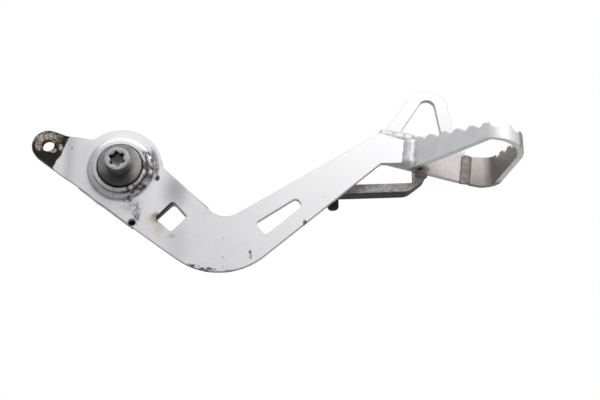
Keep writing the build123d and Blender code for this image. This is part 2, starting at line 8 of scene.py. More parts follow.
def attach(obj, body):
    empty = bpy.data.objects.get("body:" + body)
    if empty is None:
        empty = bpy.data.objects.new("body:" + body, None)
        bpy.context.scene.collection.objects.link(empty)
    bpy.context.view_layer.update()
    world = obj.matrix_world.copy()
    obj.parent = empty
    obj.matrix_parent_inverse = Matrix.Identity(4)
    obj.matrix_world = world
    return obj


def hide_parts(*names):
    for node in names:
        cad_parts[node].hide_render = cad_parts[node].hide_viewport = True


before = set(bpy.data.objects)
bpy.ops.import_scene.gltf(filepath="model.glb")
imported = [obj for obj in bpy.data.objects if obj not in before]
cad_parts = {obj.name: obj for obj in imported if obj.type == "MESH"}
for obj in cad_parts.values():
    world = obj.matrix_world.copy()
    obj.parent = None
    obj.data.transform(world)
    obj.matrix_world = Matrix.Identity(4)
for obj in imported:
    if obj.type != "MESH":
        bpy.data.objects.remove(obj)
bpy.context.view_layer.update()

# Looks of a rear brake pedal: satin silver paint on stamped plates, a bare serrated tread,
# a phosphated pivot bolt and collar, weld beads, black grease, rust and paint chips.
# Lengths are in millimetres, and y is counted inboard from the arm plate's outer face.
MM = 0.001
SEAT = 20.3
X, Y, Z = 0, 1, 2

# Camera, worked out from the photograph
CAMERA_PLACE = (74.1, -430.0, -162.14)
CAMERA_AIM = (0.04087, 0.96558, 0.25689)
CAMERA_LENS = 52.85
CAMERA_SENSOR = 36.0
CAMERA_SHIFT = 0.1
CAMERA_NEAR = 10.0

# Lamps: name, place, what it faces, width and height in metres, power in watts
LAMPS = (
    ("top_front", (60, -420, 560), (75, 0, 0), (0.6, 0.5), 3.3),
    ("top_right", (225, -270, 240), (165, 0, 10), (0.2, 0.2), 0.55),
)
WORLD_LIGHT = 0.2

# The floor lies well below the pedal, which hangs on its pivot
FLOOR_DROP = 190.0
FLOOR_HALF = 2000.0
FLOOR_WHITE = 0.7

# Pivot bolt and its collar
HEAD_TOP = -13.8
HEAD_FOOT = -5.8
HEAD_RADIUS = 6.5
SOCKET_FLOOR = HEAD_TOP + 4.2
LOBES = 6
LOBE_MEAN = 3.7
LOBE_SWING = 0.56
LOBE_TURN = math.radians(98)
SHANK_RADIUS = 4.0
NECK_RADIUS = 3.5
NECK_START = 19.1
THREAD_END = 35.3
THREAD_PITCH = 1.25
THREAD_ROOT = 3.3
THREAD_HEIGHT = 0.6
THREAD_TIP = 2.6
THREAD_STEPS = 10
BOLT_AROUND = 144
COLLAR_FOOT = -2.1
COLLAR_RADIUS = 11.1
COLLAR_BORE = 4.15

# Boss ring, and the weld round the tube on the backing plate
RING_BORE = 13.9
RING_RADIUS = 16.8
RING_LUMPS = 0.06
BACKING_FACE = 6.6
TUBE_WELD_AROUND = 220
TUBE_WELD_ACROSS = 9
TUBE_WELD_LEG = 2.75
TUBE_WELD_LUMP = 0.3
TUBE_WELD_RIPPLES = 34
TUBE_WELD_RIPPLE = 0.14

# Weld beads: points round them, rows per millimetre, pitch and lumps of their skin, and the
# length of their rounded ends as a share of their half width
BEAD_AROUND = 36
BEAD_ROWS = 6
BEAD_PITCH = 1.7
BEAD_LUMP = 0.16
BEAD_END = 0.55
BEAD_TIP = 0.02

# Rubber buffer: where it sits on the bar, its lean in degrees and its profile (radius, height)
BUFFER_SEAT = (109.8, 9.85, -9.2)
BUFFER_TILT = 2.7
BUFFER_PROFILE = (
    (0.3, -8.7), (1.2, -8.65), (2.0, -8.4), (2.6, -7.9), (2.95, -7.2), (3.05, -6.4),
    (3.05, -4.3), (3.13, -4.2), (3.13, -4.0), (3.05, -3.9), (3.05, -0.4), (2.95, -0.12),
    (2.75, -0.05), (2.0, -0.05), (2.0, 4.85), (2.7, 4.87), (2.8, 5.0), (2.7, 5.3),
    (1.3, 6.9), (0.9, 7.05), (0.3, 7.05),
)

# The tread's rounded corners in plan: centre, direction of the corner's middle, half its turn
TREAD_CORNERS = (
    ((188.8, -34.6), (0.355, -0.935), 74.7),
    ((187.4, -4.1), (0.672, 0.740), 42.2),
)


def grey(value, warm=0.0):
    """An opaque grey, redder and less blue where it is warm."""
    return (value * (1 + warm), value, value * (1 - warm), 1)


GREASE = (0.013, 0.011, 0.010, 1)
CHIPPED = (0.05, 0.044, 0.038, 1)
DIRT = (0.075, 0.055, 0.045, 1)
CRUST = (0.11, 0.085, 0.075, 1)
SMUDGE = (0.17, 0.145, 0.13, 1)
SHADE = (0.42, 0.42, 0.44, 1)
PALE = (0.84, 0.84, 0.86, 1)
WHITE = (0.94, 0.94, 0.95, 1)
RUST = (0.19, 0.085, 0.04, 1)
RUST_SPOT = (0.13, 0.075, 0.045, 1)
STAIN = (0.60, 0.53, 0.41, 1)
SCRAPED = (0.72, 0.60, 0.50, 1)

# Marks on the plates: x, z, half width, half height, raggedness, softness, colour, strength.
# Marks at least as ragged as SPECKLED break up into specks.
SPECKLED = 1.4
MARK_GRAIN = 1.3
PLATE_MARKS = (
    # The first three marks are painted light: lighter paint over the ear's bend, beside the boss
    # and above it. The SHADE marks are painted shade.
    (-27.0, 8.0, 3.4, 26.0, 0.0, 0.8, PALE, 0.55),
    (20.5, -2.0, 8.0, 13.0, 0.1, 0.9, PALE, 1.0),
    (1.0, 19.5, 16.0, 6.0, 0.1, 0.9, WHITE, 1.0),
    (28.5, -11.5, 5.5, 8.0, 0.35, 0.9, SHADE, 0.85),
    (30.5, -40.0, 4.5, 9.0, 0.35, 0.9, SHADE, 0.22),
    (-22.0, 4.0, 10.0, 14.0, 0.4, 0.9, SHADE, 0.16),
    (-25.8, 11.0, 0.5, 0.4, 0.2, 0.3, DIRT, 0.9),
    (18.9, -5.0, 1.2, 1.6, 0.6, 0.3, GREASE, 0.95),
    (4.9, -17.2, 2.4, 1.0, 1.5, 0.4, DIRT, 0.9),
    (6.5, -20.0, 4.5, 3.2, 1.6, 0.7, SMUDGE, 0.5),
    (9.0, -24.0, 1.8, 4.4, 1.5, 0.6, DIRT, 0.7),
    (9.4, -26.6, 1.2, 2.4, 1.4, 0.4, DIRT, 0.9),
    (18.9, -26.2, 2.2, 2.6, 0.9, 0.4, RUST, 0.85),
    (19.7, -26.9, 1.4, 2.0, 0.8, 0.4, GREASE, 0.9),
    (20.4, -31.0, 2.8, 4.2, 0.9, 0.8, STAIN, 0.65),
    (17.0, -27.0, 2.4, 2.4, 1.0, 0.7, STAIN, 0.6),
    (27.2, -36.2, 2.2, 1.1, 1.3, 0.5, SMUDGE, 0.3),
    (94.9, -28.3, 1.1, 1.3, 0.6, 0.3, RUST_SPOT, 0.95),
    (67.0, -44.2, 0.7, 0.9, 0.6, 0.4, DIRT, 0.85),
    (67.3, -46.6, 0.7, 1.5, 1.3, 0.4, DIRT, 0.55),
    (53.3, -37.1, 0.35, 0.35, 0.3, 0.3, DIRT, 0.5),
    (53.5, -47.0, 0.4, 0.4, 0.3, 0.3, DIRT, 0.5),
    (53.6, -52.2, 0.4, 0.3, 0.3, 0.3, DIRT, 0.6),
    (104.6, -14.5, 0.4, 0.4, 0.3, 0.3, DIRT, 0.3),
    (36.5, -52.0, 4.6, 1.1, 1.2, 0.4, CHIPPED, 0.95),
    (45.0, -53.7, 5.0, 1.1, 1.2, 0.4, CHIPPED, 0.95),
    (57.0, -54.0, 3.0, 0.4, 1.35, 0.4, CHIPPED, 0.6),
)
BACKING_MARKS = (
    # Dark marks on the backing: grease and painted shade in the notch, dirt and painted shade
    # behind the window's rear wall, and painted shade in the gap behind the arm's edge at x 43.
    (7.2, -28.0, 3.4, 1.9, 0.4, 0.3, GREASE, 1.0),
    (21.0, -24.0, 8.0, 8.0, 0.4, 0.5, DIRT, 0.85),
    (43.0, -20.5, 7.0, 7.0, 0.4, 0.4, GREASE, 1.0),
)


def place(x, y, z):
    """A point in millimetres, with y from the arm's outer face, as a point of the frame."""
    return Vector((x * MM, (y - SEAT) * MM, z * MM))


class Nodes:
    """A node tree being built. Most calls add a node and give back its output."""

    def __init__(self, tree):
        self.tree = tree

    def feed(self, socket, value):
        """Links an output to a socket, or sets the socket to a plain value."""
        if isinstance(value, bpy.types.NodeSocket):
            self.tree.links.new(value, socket)
        else:
            socket.default_value = value

    def node(self, kind, inputs=(), **settings):
        """A new node with its settings, and with its inputs fed by name or number."""
        made = self.tree.nodes.new("ShaderNode" + kind)
        for setting, value in settings.items():
            setattr(made, setting, value)
        for socket, value in dict(inputs).items():
            self.feed(made.inputs[socket], value)
        return made

    def math(self, operation, a, b=0.0):
        return self.node("Math", {0: a, 1: b}, operation=operation).outputs[0]

    def times(self, *values):
        """The product of masks or numbers."""
        result = values[0]
        for value in values[1:]:
            result = self.math("MULTIPLY", result, value)
        return result

    def most(self, *values):
        """The largest of masks or numbers."""
        result = values[0]
        for value in values[1:]:
            result = self.math("MAXIMUM", result, value)
        return result

    def see_white(self, lit, shown, share=1.0):
        """Mixes two shaders: the camera and reflections see the second, or a share of it."""
        rays = self.node("LightPath").outputs
        seen = self.most(
            rays["Is Camera Ray"], rays["Is Glossy Ray"], rays["Is Transmission Ray"])
        return self.node("MixShader", {0: self.times(seen, share), 1: lit, 2: shown}).outputs[0]


class Look(Nodes):
    """A material being built."""

    def __init__(self, name, metallic=0.0, specular=0.5):
        self.material = bpy.data.materials.new(name)
        self.material.use_nodes = True
        super().__init__(self.material.node_tree)
        self.shader = self.tree.nodes["Principled BSDF"]
        self.shader.inputs["Metallic"].default_value = metallic
        self.shader.inputs["Specular IOR Level"].default_value = specular
        self.plain = {"Metallic": metallic, "Specular IOR Level": specular}
        coordinates = self.node("TexCoord").outputs
        self.where = coordinates["Object"]
        self.facing = coordinates["Normal"]
        self.seed = 0.0

    def mix(self, share, a, b):
        """A colour between two others."""
        node = self.node("Mix", data_type="RGBA")
        for socket, value in (("Factor", share), ("A", a), ("B", b)):
            self.feed(node.inputs[socket], value)
        return node.outputs["Result"]

    def blend(self, share, a, b):
        """The same for plain numbers."""
        return self.node("Mix", {0: share, 2: a, 3: b}).outputs[0]

    def coat(self, colour, paint, strength, *masks):
        """A colour with a paint laid over it where all the masks are."""
        return self.mix(self.times(*masks, strength), colour, paint)

    def step(self, value, low, high):
        """0 below low and 1 above high, or the reverse, with a smooth rise."""
        flip = low > high
        return self.node("MapRange", {
            "Value": value,
            "From Min": min(low, high), "From Max": max(low, high),
            "To Min": 1.0 if flip else 0.0, "To Max": 0.0 if flip else 1.0,
        }, interpolation_type="SMOOTHSTEP").outputs["Result"]

    def vector(self, operation, a, b=(0, 0, 0)):
        node = self.node("VectorMath", {0: a, 1: b}, operation=operation)
        return node.outputs["Value" if operation in ("DOT_PRODUCT", "LENGTH") else "Vector"]

    def scaled(self, vector, factor):
        node = self.node("VectorMath", {0: vector, "Scale": factor}, operation="SCALE")
        return node.outputs["Vector"]

    def axis(self, vector, index):
        return self.node("SeparateXYZ", {0: vector}).outputs[index]

    def past(self, index, low, high):
        """A step along an axis, between two places in millimetres."""
        start = SEAT if index == Y else 0.0
        return self.step(self.axis(self.where, index), (low - start) * MM, (high - start) * MM)

    def turned(self, index, low, high):
        """A step in how far a face looks along an axis, from -1 to 1."""
        return self.step(self.axis(self.facing, index), low, high)

    def walls(self):
        """1 on the cut edges of the plates, 0 on their faces."""
        return self.step(self.math("ABSOLUTE", self.axis(self.facing, Y)), 0.7, 0.4)

    def noise(self, size, detail=4.0, rough=0.55, stretch=(1, 1, 1)):
        """Cloudy noise whose features are about size millimetres across."""
        self.seed += 7.3
        shift = self.node("Mapping", {
            "Vector": self.where,
            "Location": (self.seed, -self.seed, 0.5 * self.seed),
            "Scale": [1 / (size * MM * s) for s in stretch],
        })
        return self.node("TexNoise", {
            "Vector": shift.outputs["Vector"],
            "Scale": 1.0, "Detail": detail, "Roughness": rough,
        }).outputs["Fac"]

    def grains(self, size, low, high, detail=6.0, rough=0.7, stretch=(1, 1, 1)):
        """Patches of noise with an edge between two levels."""
        return self.step(self.noise(size, detail, rough, stretch), low, high)

    def spot(self, x, z, across, up, ragged=0.5, size=3.0, soft=0.2):
        """A ragged spot about a point of the plate, 1 inside and 0 outside, at any depth."""
        any_depth = 1000.0
        shift = self.node("Mapping", {
            "Vector": self.where,
            "Location": (x * MM, 0, z * MM),
            "Scale": (across * MM, any_depth, up * MM),
        }, vector_type="TEXTURE")
        wobble = self.node("Math", {
            0: self.noise(size, 5.0, 0.65), 1: 2 * ragged, 2: -ragged,
        }, operation="MULTIPLY_ADD").outputs[0]
        reach = self.math("ADD", self.vector("LENGTH", shift.outputs["Vector"]), wobble)
        return self.step(reach, 1 + soft, 1 - soft)

    def ring(self, inner, outer, soft=0.6):
        """1 between two distances from the pivot axis."""
        flat = self.vector("MULTIPLY", self.where, (1 / MM, 0.0, 1 / MM))
        away = self.vector("LENGTH", flat)
        return self.times(self.step(away, inner - soft, inner + soft),
                          self.step(away, outer + soft, outer - soft))

    def bevelled(self, width):
        """The normal of a surface whose edges are rounded."""
        return self.node("Bevel", {"Radius": width * MM}, samples=8).outputs["Normal"]

    def edges(self, width):
        """1 along sharp edges, within a width in millimetres."""
        true_normal = self.node("NewGeometry").outputs["True Normal"]
        return self.step(self.vector("DOT_PRODUCT", self.bevelled(width), true_normal), 0.99, 0.88)

    def corner_turn(self, corners):
        """What turns the normals of faceted upright corners into smooth ones."""
        total = (0, 0, 0)
        upright = self.step(self.math("ABSOLUTE", self.axis(self.facing, Z)), 0.35, 0.25)
        for (x, y), middle, half_turn in corners:
            spoke = self.vector("SUBTRACT", self.where, place(x, y, 0))
            spoke = self.vector("NORMALIZE", self.vector("MULTIPLY", spoke, (1, 1, 0)))
            side = self.math("SIGN", self.vector("DOT_PRODUCT", spoke, self.facing))
            along = self.vector("DOT_PRODUCT", spoke, (*middle, 0))
            within = self.math("GREATER_THAN", along, math.cos(math.radians(half_turn)))
            change = self.vector("SUBTRACT", self.scaled(spoke, side), self.facing)
            change = self.scaled(change, self.times(within, upright))
            total = self.vector("ADD", change, total)
        return self.node("VectorTransform", {0: total}, vector_type="VECTOR",
                         convert_from="OBJECT", convert_to="WORLD").outputs[0]

    def dull(self, share, specular=None, metallic=0.0):
        """Takes the shine away where a mask is, down to the levels given."""
        for name, level in (("Specular IOR Level", specular), ("Metallic", metallic)):
            if level is not None:
                self.feed(self.shader.inputs[name], self.blend(share, self.plain[name], level))

    def finish(self, colour, rough, height, depth, edge=0.0, corners=()):
        """Joins colour, roughness, relief and rounded edges to the shader."""
        self.feed(self.shader.inputs["Base Color"], colour)
        self.feed(self.shader.inputs["Roughness"], rough)
        bump = self.node("Bump", {"Strength": 1.0, "Distance": depth * MM, "Height": height})
        if edge:
            normal = self.bevelled(edge)
            if corners:
                normal = self.vector("ADD", normal, self.corner_turn(corners))
                normal = self.vector("NORMALIZE", normal)
            self.feed(bump.inputs["Normal"], normal)
        self.feed(self.shader.inputs["Normal"], bump.outputs["Normal"])
        return self.material


def arm_dirt_and_painted_light(look):
    """Covers of the arm alone, with dirt, painted shade and a painted highlight, and the mask of
    the grease on its ear.
    """
    walls = look.walls()
    covers = [
        # Rear wall of the window dark with grease and painted shade, and a painted highlight on its
        # front wall
        (look.times(walls, look.spot(22.3, -22.3, 6.8, 6.8, 0.15, 2.0)), GREASE, 0.92),
        (look.times(walls, look.spot(32.5, -22.5, 5.5, 5.5, 0.1, 2.0)), (0.80, 0.80, 0.81, 1), 0.9),
    ]
    # Crust on the plate along the front of the boss, and a shadow line round it
    side = look.spot(17.6, 4.4, 3.2, 9.4, 0.4, 2.4, 0.35)
    band = look.times(look.ring(16.4, 19.4, 0.9), side)
    covers += [
        (look.times(band, look.grains(1.5, 0.30, 0.60, 7.0, 0.75)), CRUST, 0.9),
        (look.times(band, look.grains(0.9, 0.50, 0.60, 6.0, 0.75)), DIRT, 0.95),
        (look.times(look.ring(16.5, 17.3, 0.4), look.grains(6.0, 0.35, 0.6, 4.0, 0.55)),
         grey(0.30), 0.6),
    ]
    # Grease on the ear, behind a slanting ragged line
    x, z = look.axis(look.where, X), look.axis(look.where, Z)
    slant = look.math("ADD", x, look.times(z, -0.42))
    line = look.math("ADD", slant, look.times(look.noise(4.5, 7.0, 0.7), 6.5 * MM))
    greased = look.step(line, -31.7 * MM, -32.6 * MM)
    covers += [
        (greased, GREASE, 0.99),
        (look.times(greased, look.grains(1.2, 0.50, 0.62, 7.0, 0.8)), DIRT, 0.3),
    ]
    # The grease is scraped off round the push rod's hole, but not at the hole's rim
    worn = look.most(
        look.spot(-39.8, 17.0, 6.0, 3.6, 0.8, 1.6, 0.5), look.spot(-43.4, 13.4, 1.7, 3.2, 0.9, 1.5),
        look.spot(-32.2, 12.5, 1.0, 1.7, 0.7, 1.2), look.spot(-36.4, 10.6, 2.2, 1.2, 1.0, 1.2))
    scraped = look.times(worn, look.grains(1.5, 0.415, 0.56, 8.0, 0.85), greased)
    # Painted glints on the scraped metal
    glints = look.times(scraped, look.grains(0.8, 0.54, 0.66, 6.0, 0.8))
    rim = look.spot(-38.9, 13.3, 3.9, 3.5, 0.3, 1.5)
    covers += [
        (scraped, SCRAPED, 0.9),
        (glints, (0.85, 0.77, 0.68, 1), 0.7),
        (rim, GREASE, 0.7),
        (look.times(walls, rim), GREASE, 0.9),
    ]
    return covers, greased


def hoop_dirt(look):
    """Covers of the guard hoop alone: browned paint inside the loop, and a rust spot."""
    warm = look.times(look.past(Z, 13.5, 10.5), look.past(X, 148, 154))
    streaks = look.grains(0.6, 0.46, 0.66, 6.0, 0.75, (1, 1, 4))
    return [
        (warm, (0.70, 0.63, 0.62, 1), 0.75),
        (look.times(warm, streaks), (0.42, 0.37, 0.35, 1), 0.5),
        (look.spot(155.6, 2.6, 4.2, 2.8, 0.7, 1.5, 0.4), (0.20, 0.13, 0.10, 1), 0.8),
        (look.spot(155.2, 3.1, 2.3, 1.5, 0.6, 1.0), RUST, 0.8),
        (look.spot(155.0, 3.3, 1.5, 0.9, 0.5, 1.0), GREASE, 0.9),
    ]


def silver_paint(name, marks=(), arm=False, hoop=False):
    """Satin silver paint with dirt and painted shade on the faces that look down and in the
    cut-outs, and the marks given.
    """
    look = Look(name, metallic=0.15, specular=0.4)
    cloud = look.noise(22.0, 3.0)
    mottle = look.noise(2.2, 6.0, 0.7)
    colour = look.mix(look.step(cloud, 0.35, 0.65), (0.655, 0.66, 0.685, 1), (0.70, 0.70, 0.72, 1))
    colour = look.mix(look.step(mottle, 0.3, 0.8), colour, (0.735, 0.73, 0.745, 1))
    flakes = look.grains(0.22, 0.55, 0.75, 2.0, 0.5)
    colour = look.coat(colour, (0.85, 0.85, 0.86, 1), 0.25, flakes)
    rough = look.blend(look.step(mottle, 0.3, 0.7), 0.36, 0.48)
    height = look.times(look.noise(0.35, 3.0, 0.6), 0.35)
    if arm:
        # Painted light: the arm's paint is lighter towards its end
        colour = look.coat(colour, (0.80, 0.795, 0.80, 1), 0.7, look.past(X, 35, 92))
    # Patchy dirt and painted shade on the faces that look down
    patchy = look.blend(look.grains(1.6, 0.28, 0.62), 0.25, 0.9)
    covers = [(look.times(look.turned(Z, -0.35, -0.8), patchy), DIRT, 0.3 if hoop else 0.5)]
    outboard = look.turned(Y, 0.7, 0.4)
    for x, z, wide, tall, ragged, soft, paint, strength in marks:
        mark = look.times(look.spot(x, z, wide, tall, ragged, MARK_GRAIN, soft), outboard)
        if ragged >= SPECKLED:
            mark = look.times(mark, look.grains(1.3, 0.43, 0.55, 7.0, 0.8))
        if paint is CHIPPED:
            mark = look.times(mark, look.step(mottle, 0.41, 0.49))
        covers.append((mark, paint, strength))
    if arm:
        arm_covers, greased = arm_dirt_and_painted_light(look)
        covers += arm_covers
        height = look.blend(greased, height, look.times(look.noise(1.3, 6.0, 0.7), 3.0))
    if hoop:
        covers += hoop_dirt(look)
    dull = 0.0
    for mask, paint, strength in covers:
        share = look.times(mask, strength)
        colour = look.mix(share, colour, paint)
        rough = look.blend(share, rough, 0.75)
        dull = look.most(share, dull)
    # Thin dull line along the sheets' edges
    line = look.times(look.edges(0.55), 0.75)
    colour = look.mix(line, colour, (0.36, 0.36, 0.375, 1))
    look.dull(look.most(line, dull), 0.08)
    return look.finish(colour, rough, height, 0.05, 0.25)


def bare_steel(name):
    """The tread's brushed steel, brown and dull inside the loop."""
    look = Look(name, metallic=0.3, specular=0.5)
    cloud = look.noise(9.0, 4.0)
    brush = look.noise(0.35, 5.0, 0.7, (1, 1, 14))
    colour = look.mix(look.step(cloud, 0.3, 0.7), (0.55, 0.55, 0.57, 1), (0.63, 0.63, 0.645, 1))
    colour = look.coat(colour, (0.70, 0.69, 0.69, 1), 0.3, look.step(brush, 0.4, 0.7))
    # A painted highlight on the near corner, and the front of the loop is darker
    corner = look.times(look.past(X, 181, 188), look.past(X, 197, 190), look.past(Y, -36.7, -42.7))
    colour = look.coat(colour, (0.86, 0.83, 0.83, 1), 0.7, corner)
    ahead = look.times(look.turned(X, 0.45, 0.85), look.past(X, 190, 196))
    colour = look.coat(colour, (0.24, 0.205, 0.205, 1), 0.85, ahead)
    # Painted shade: the faces that look up are darkened
    colour = look.coat(colour, (0.24, 0.23, 0.23, 1), 0.9, look.turned(Z, 0.3, 0.8))
    # The loop's inside faces back, as the near corner's outside does
    inner = look.most(look.past(Y, -37.7, -31.7), look.turned(Y, -0.45, -0.2))
    inside = look.times(look.turned(X, -0.25, -0.85), inner, look.past(X, 181, 190))
    brown = look.mix(look.step(brush, 0.35, 0.65), (0.09, 0.072, 0.068, 1), (0.27, 0.23, 0.22, 1))
    colour = look.coat(colour, brown, 0.92, inside)
    # The far blade's outboard face is browned, more so lower down
    far = look.times(look.turned(Y, -0.5, -0.9), look.past(Y, -5.7, -1.7))
    colour = look.coat(colour, (0.34, 0.295, 0.285, 1), 0.9, far)
    colour = look.coat(colour, (0.48, 0.43, 0.42, 1), 0.5, far, look.past(Z, 2, 9))
    colour = look.coat(colour, (0.19, 0.16, 0.155, 1), 0.5, far, look.past(Z, 2, -4))
    colour = look.coat(
        colour, (0.22, 0.18, 0.175, 1), 0.5, far, look.grains(0.8, 0.45, 0.62, 7.0, 0.8))
    # Faces that look down: painted shade on the outboard ones, a painted light grey on the inboard
    # rims, and darker patches on all
    below = look.turned(Z, -0.4, -0.8)
    outboard = look.past(Y, -1.7, -7.7)
    colour = look.coat(
        colour, look.mix(outboard, grey(0.12, 0.05), grey(0.74, 0.01)), 0.8, below)
    look.dull(look.most(ahead, look.times(below, look.math("SUBTRACT", 1.0, outboard))), 0.1)
    colour = look.coat(colour, grey(0.20, 0.06), 0.35, below, look.grains(1.4, 0.45, 0.6))
    rough = look.blend(look.step(brush, 0.3, 0.7), 0.30, 0.46)
    return look.finish(colour, rough, brush, 0.03, 0.4, TREAD_CORNERS)


def phosphate(name, light=0.30, dark=0.16):
    """Grey phosphated steel with worn lighter spots, painted shade black inside the bolt's socket
    and under the head, and painted light towards the front.
    """
    look = Look(name, metallic=0.1, specular=0.35)
    cloud = look.noise(3.0, 5.0, 0.6)
    speck = look.noise(0.55, 5.0, 0.75)
    colour = look.mix(look.step(cloud, 0.3, 0.7), grey(dark, 0.01), grey(light, 0.005))
    colour = look.coat(colour, grey(light * 1.7), 0.6, look.step(speck, 0.52, 0.66))
    colour = look.coat(colour, grey(0.05, 0.05), 0.5, look.grains(0.7, 0.62, 0.7, 4.0, 0.7))
    # Painted shade: the socket's floor is darkened and its walls are painted near black
    hollow = look.times(look.past(Y, HEAD_TOP + 0.3, HEAD_TOP + 1.6), look.ring(-1.0, 4.4, 0.1))
    colour = look.mix(
        look.times(hollow, look.blend(look.walls(), 0.3, 0.93)), colour, grey(0.012))
    # Painted shadow on the faces that look down and on the lower part of the head's rim and the
    # collar
    under = look.most(look.turned(Z, 0.25, -0.7),
                      look.times(look.past(Z, 1, -8), look.ring(5.8, 40.0, 0.5)))
    colour = look.coat(colour, grey(0.02, 0.02), 0.88, under)
    # Painted light on the forward side of the collar
    ahead = look.times(look.past(X, 4, 10), look.ring(7.0, 40.0, 0.5))
    colour = look.coat(colour, grey(0.42, 0.03), 0.5, ahead)
    rough = look.blend(look.step(cloud, 0.3, 0.7), 0.38, 0.55)
    return look.finish(colour, rough, speck, 0.05)


def boss_steel(name):
    """The boss: silver, with painted light at the top, painted shade low and at the left, and black
    and rust-brown crust at the front.
    """
    look = Look(name, metallic=0.2, specular=0.5)
    cloud = look.noise(4.0, 5.0, 0.6)
    colour = look.mix(look.step(cloud, 0.3, 0.7), (0.52, 0.52, 0.54, 1), (0.64, 0.64, 0.655, 1))
    # Painted shade on the lower part, in patches, and on the left, and painted light at the top
    patchy_shade = look.blend(look.grains(2.4, 0.40, 0.62, 6.0, 0.75), 0.4, 1.0)
    colour = look.coat(colour, grey(0.22, 0.03), 0.65, look.past(Z, -3, -13), patchy_shade)
    colour = look.coat(colour, (0.34, 0.34, 0.36, 1), 0.6, look.past(X, -9, -15))
    colour = look.coat(colour, (0.86, 0.86, 0.87, 1), 0.8, look.past(Z, 8, 14))
    # The crust lies ahead of a line that leans back at the top
    x, z = look.axis(look.where, X), look.axis(look.where, Z)
    lean = look.math("ADD", look.times(x, 0.93 / MM), look.times(z, -0.36 / MM))
    patch = look.math("ADD", look.noise(3.2, 7.0, 0.72),
                      look.times(look.step(lean, 5.5, 12.0), 0.16))
    groove = look.times(look.ring(13.2, 14.6, 0.5), look.grains(3.0, 0.40, 0.52))
    crumbs = look.most(look.times(look.step(patch, 0.60, 0.68), look.step(lean, 3.0, 7.0)),
                       look.times(groove, look.step(lean, 4.0, 9.0)))
    crust = look.mix(look.grains(1.6, 0.42, 0.64), GREASE, (0.085, 0.06, 0.05, 1))
    colour = look.coat(colour, crust, 0.95, crumbs)
    look.dull(crumbs)
    rough = look.blend(crumbs, 0.28, 0.7)
    return look.finish(colour, rough, look.noise(1.1, 6.0, 0.75), 0.12, 0.4)


def dark_bar(name):
    """The stop bar: a dark coat with bright grit painted as glints, and painted shade near black on
    its undersides.
    """
    look = Look(name, metallic=0.3, specular=0.4)
    grit = look.noise(0.75, 7.0, 0.85)
    patch = look.noise(7.0, 4.0, 0.6)
    colour = look.mix(look.step(grit, 0.40, 0.62), (0.13, 0.12, 0.118, 1), (0.42, 0.40, 0.40, 1))
    # Painted glints on the grit
    bright = look.times(look.step(grit, 0.56, 0.66), look.step(patch, 0.36, 0.56))
    colour = look.mix(bright, colour, (0.85, 0.83, 0.83, 1))
    # Painted shade: the faces that look down are near black
    below = look.turned(Z, -0.3, -0.7)
    colour = look.coat(colour, (0.02, 0.019, 0.019, 1), 0.95, below)
    look.dull(below, 0.1)
    rough = look.blend(look.step(grit, 0.4, 0.6), 0.65, 0.42)
    return look.finish(colour, rough, grit, 0.12, 0.5)


def rubber(name, dust_and_light_share=0.3):
    """Black rubber with some dust, and dust with painted light on its upper half."""
    look = Look(name, specular=0.2)
    dust = look.noise(1.4, 5.0, 0.7)
    colour = look.mix(look.step(dust, 0.5, 0.75), grey(0.010), grey(0.12 * dust_and_light_share, 0.03))
    # Dust and painted light: the upper half is lightened towards grey
    colour = look.coat(colour, grey(0.4), min(0.9, 0.5 * dust_and_light_share), look.past(Z, 1, 8))
    rough = look.blend(look.step(dust, 0.4, 0.7), 0.6, 0.8)
    return look.finish(colour, rough, look.noise(0.5, 4.0, 0.6), 0.04)


def bronze(name):
    """Bearing bronze with grease on its flat faces."""
    look = Look(name, metallic=0.9, specular=0.5)
    cloud = look.noise(2.0, 5.0, 0.6)
    colour = look.mix(look.step(cloud, 0.35, 0.65), (0.42, 0.27, 0.12, 1), (0.58, 0.40, 0.19, 1))
    faces = look.step(look.math("ABSOLUTE", look.axis(look.facing, Y)), 0.5, 0.8)
    colour = look.coat(colour, GREASE, 0.9, faces)
    rough = look.blend(cloud, 0.25, 0.45)
    return look.finish(colour, rough, look.noise(0.4, 3.0), 0.02)


def weld_skin(name, tint, dark, rust_share=0.0, soot_share=0.35, highlight_share=0.0):
    """Painted or bare weld metal, with painted shade on the flanks that face back or down, and a
    painted highlight streak if asked for.
    """
    look = Look(name, metallic=0.2, specular=0.5)
    cloud = look.noise(2.6, 6.0, 0.65)
    colour = look.mix(look.step(cloud, 0.36, 0.66), dark, tint)
    colour = look.coat(colour, grey(0.2, 0.04), soot_share, look.grains(3.0, 0.55, 0.68))
    if rust_share:
        colour = look.coat(colour, RUST, rust_share, look.grains(1.5, 0.48, 0.62))
    # Painted shade: the flanks that face back or down are darker
    flank = look.most(look.turned(X, -0.15, -0.75), look.turned(Z, -0.55, -0.95))
    colour = look.coat(colour, dark, 0.4, flank)
    if highlight_share:
        # A painted highlight along the bead's crest
        streak = look.times(look.turned(X, -0.15, 0.1), look.turned(X, 0.55, 0.3))
        colour = look.coat(colour, (0.90, 0.90, 0.92, 1), highlight_share, streak)
    rough = look.blend(look.step(cloud, 0.35, 0.65), 0.62, 0.45)
    return look.finish(colour, rough, look.noise(0.8, 5.0, 0.65), 0.02)


def new_object(name, mesh, material, body, stands_for):
    """Adds a mesh that rides on a body and stands for CAD nodes."""
    made = bpy.data.objects.new(name, mesh)
    bpy.context.scene.collection.objects.link(made)
    mesh.materials.append(material)
    for face in mesh.polygons:
        face.use_smooth = True
    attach(made, body)
    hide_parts(*stands_for)
    return made


def soften(made, width, segments=2, sharp=50):
    """Rounds the edges of a turned piece that are sharper than an angle in degrees."""
    rounding = made.modifiers.new("edge_rounding", "BEVEL")
    rounding.width = width * MM
    rounding.segments = segments
    rounding.limit_method = "ANGLE"
    rounding.angle_limit = math.radians(sharp)
    rounding.harden_normals = True


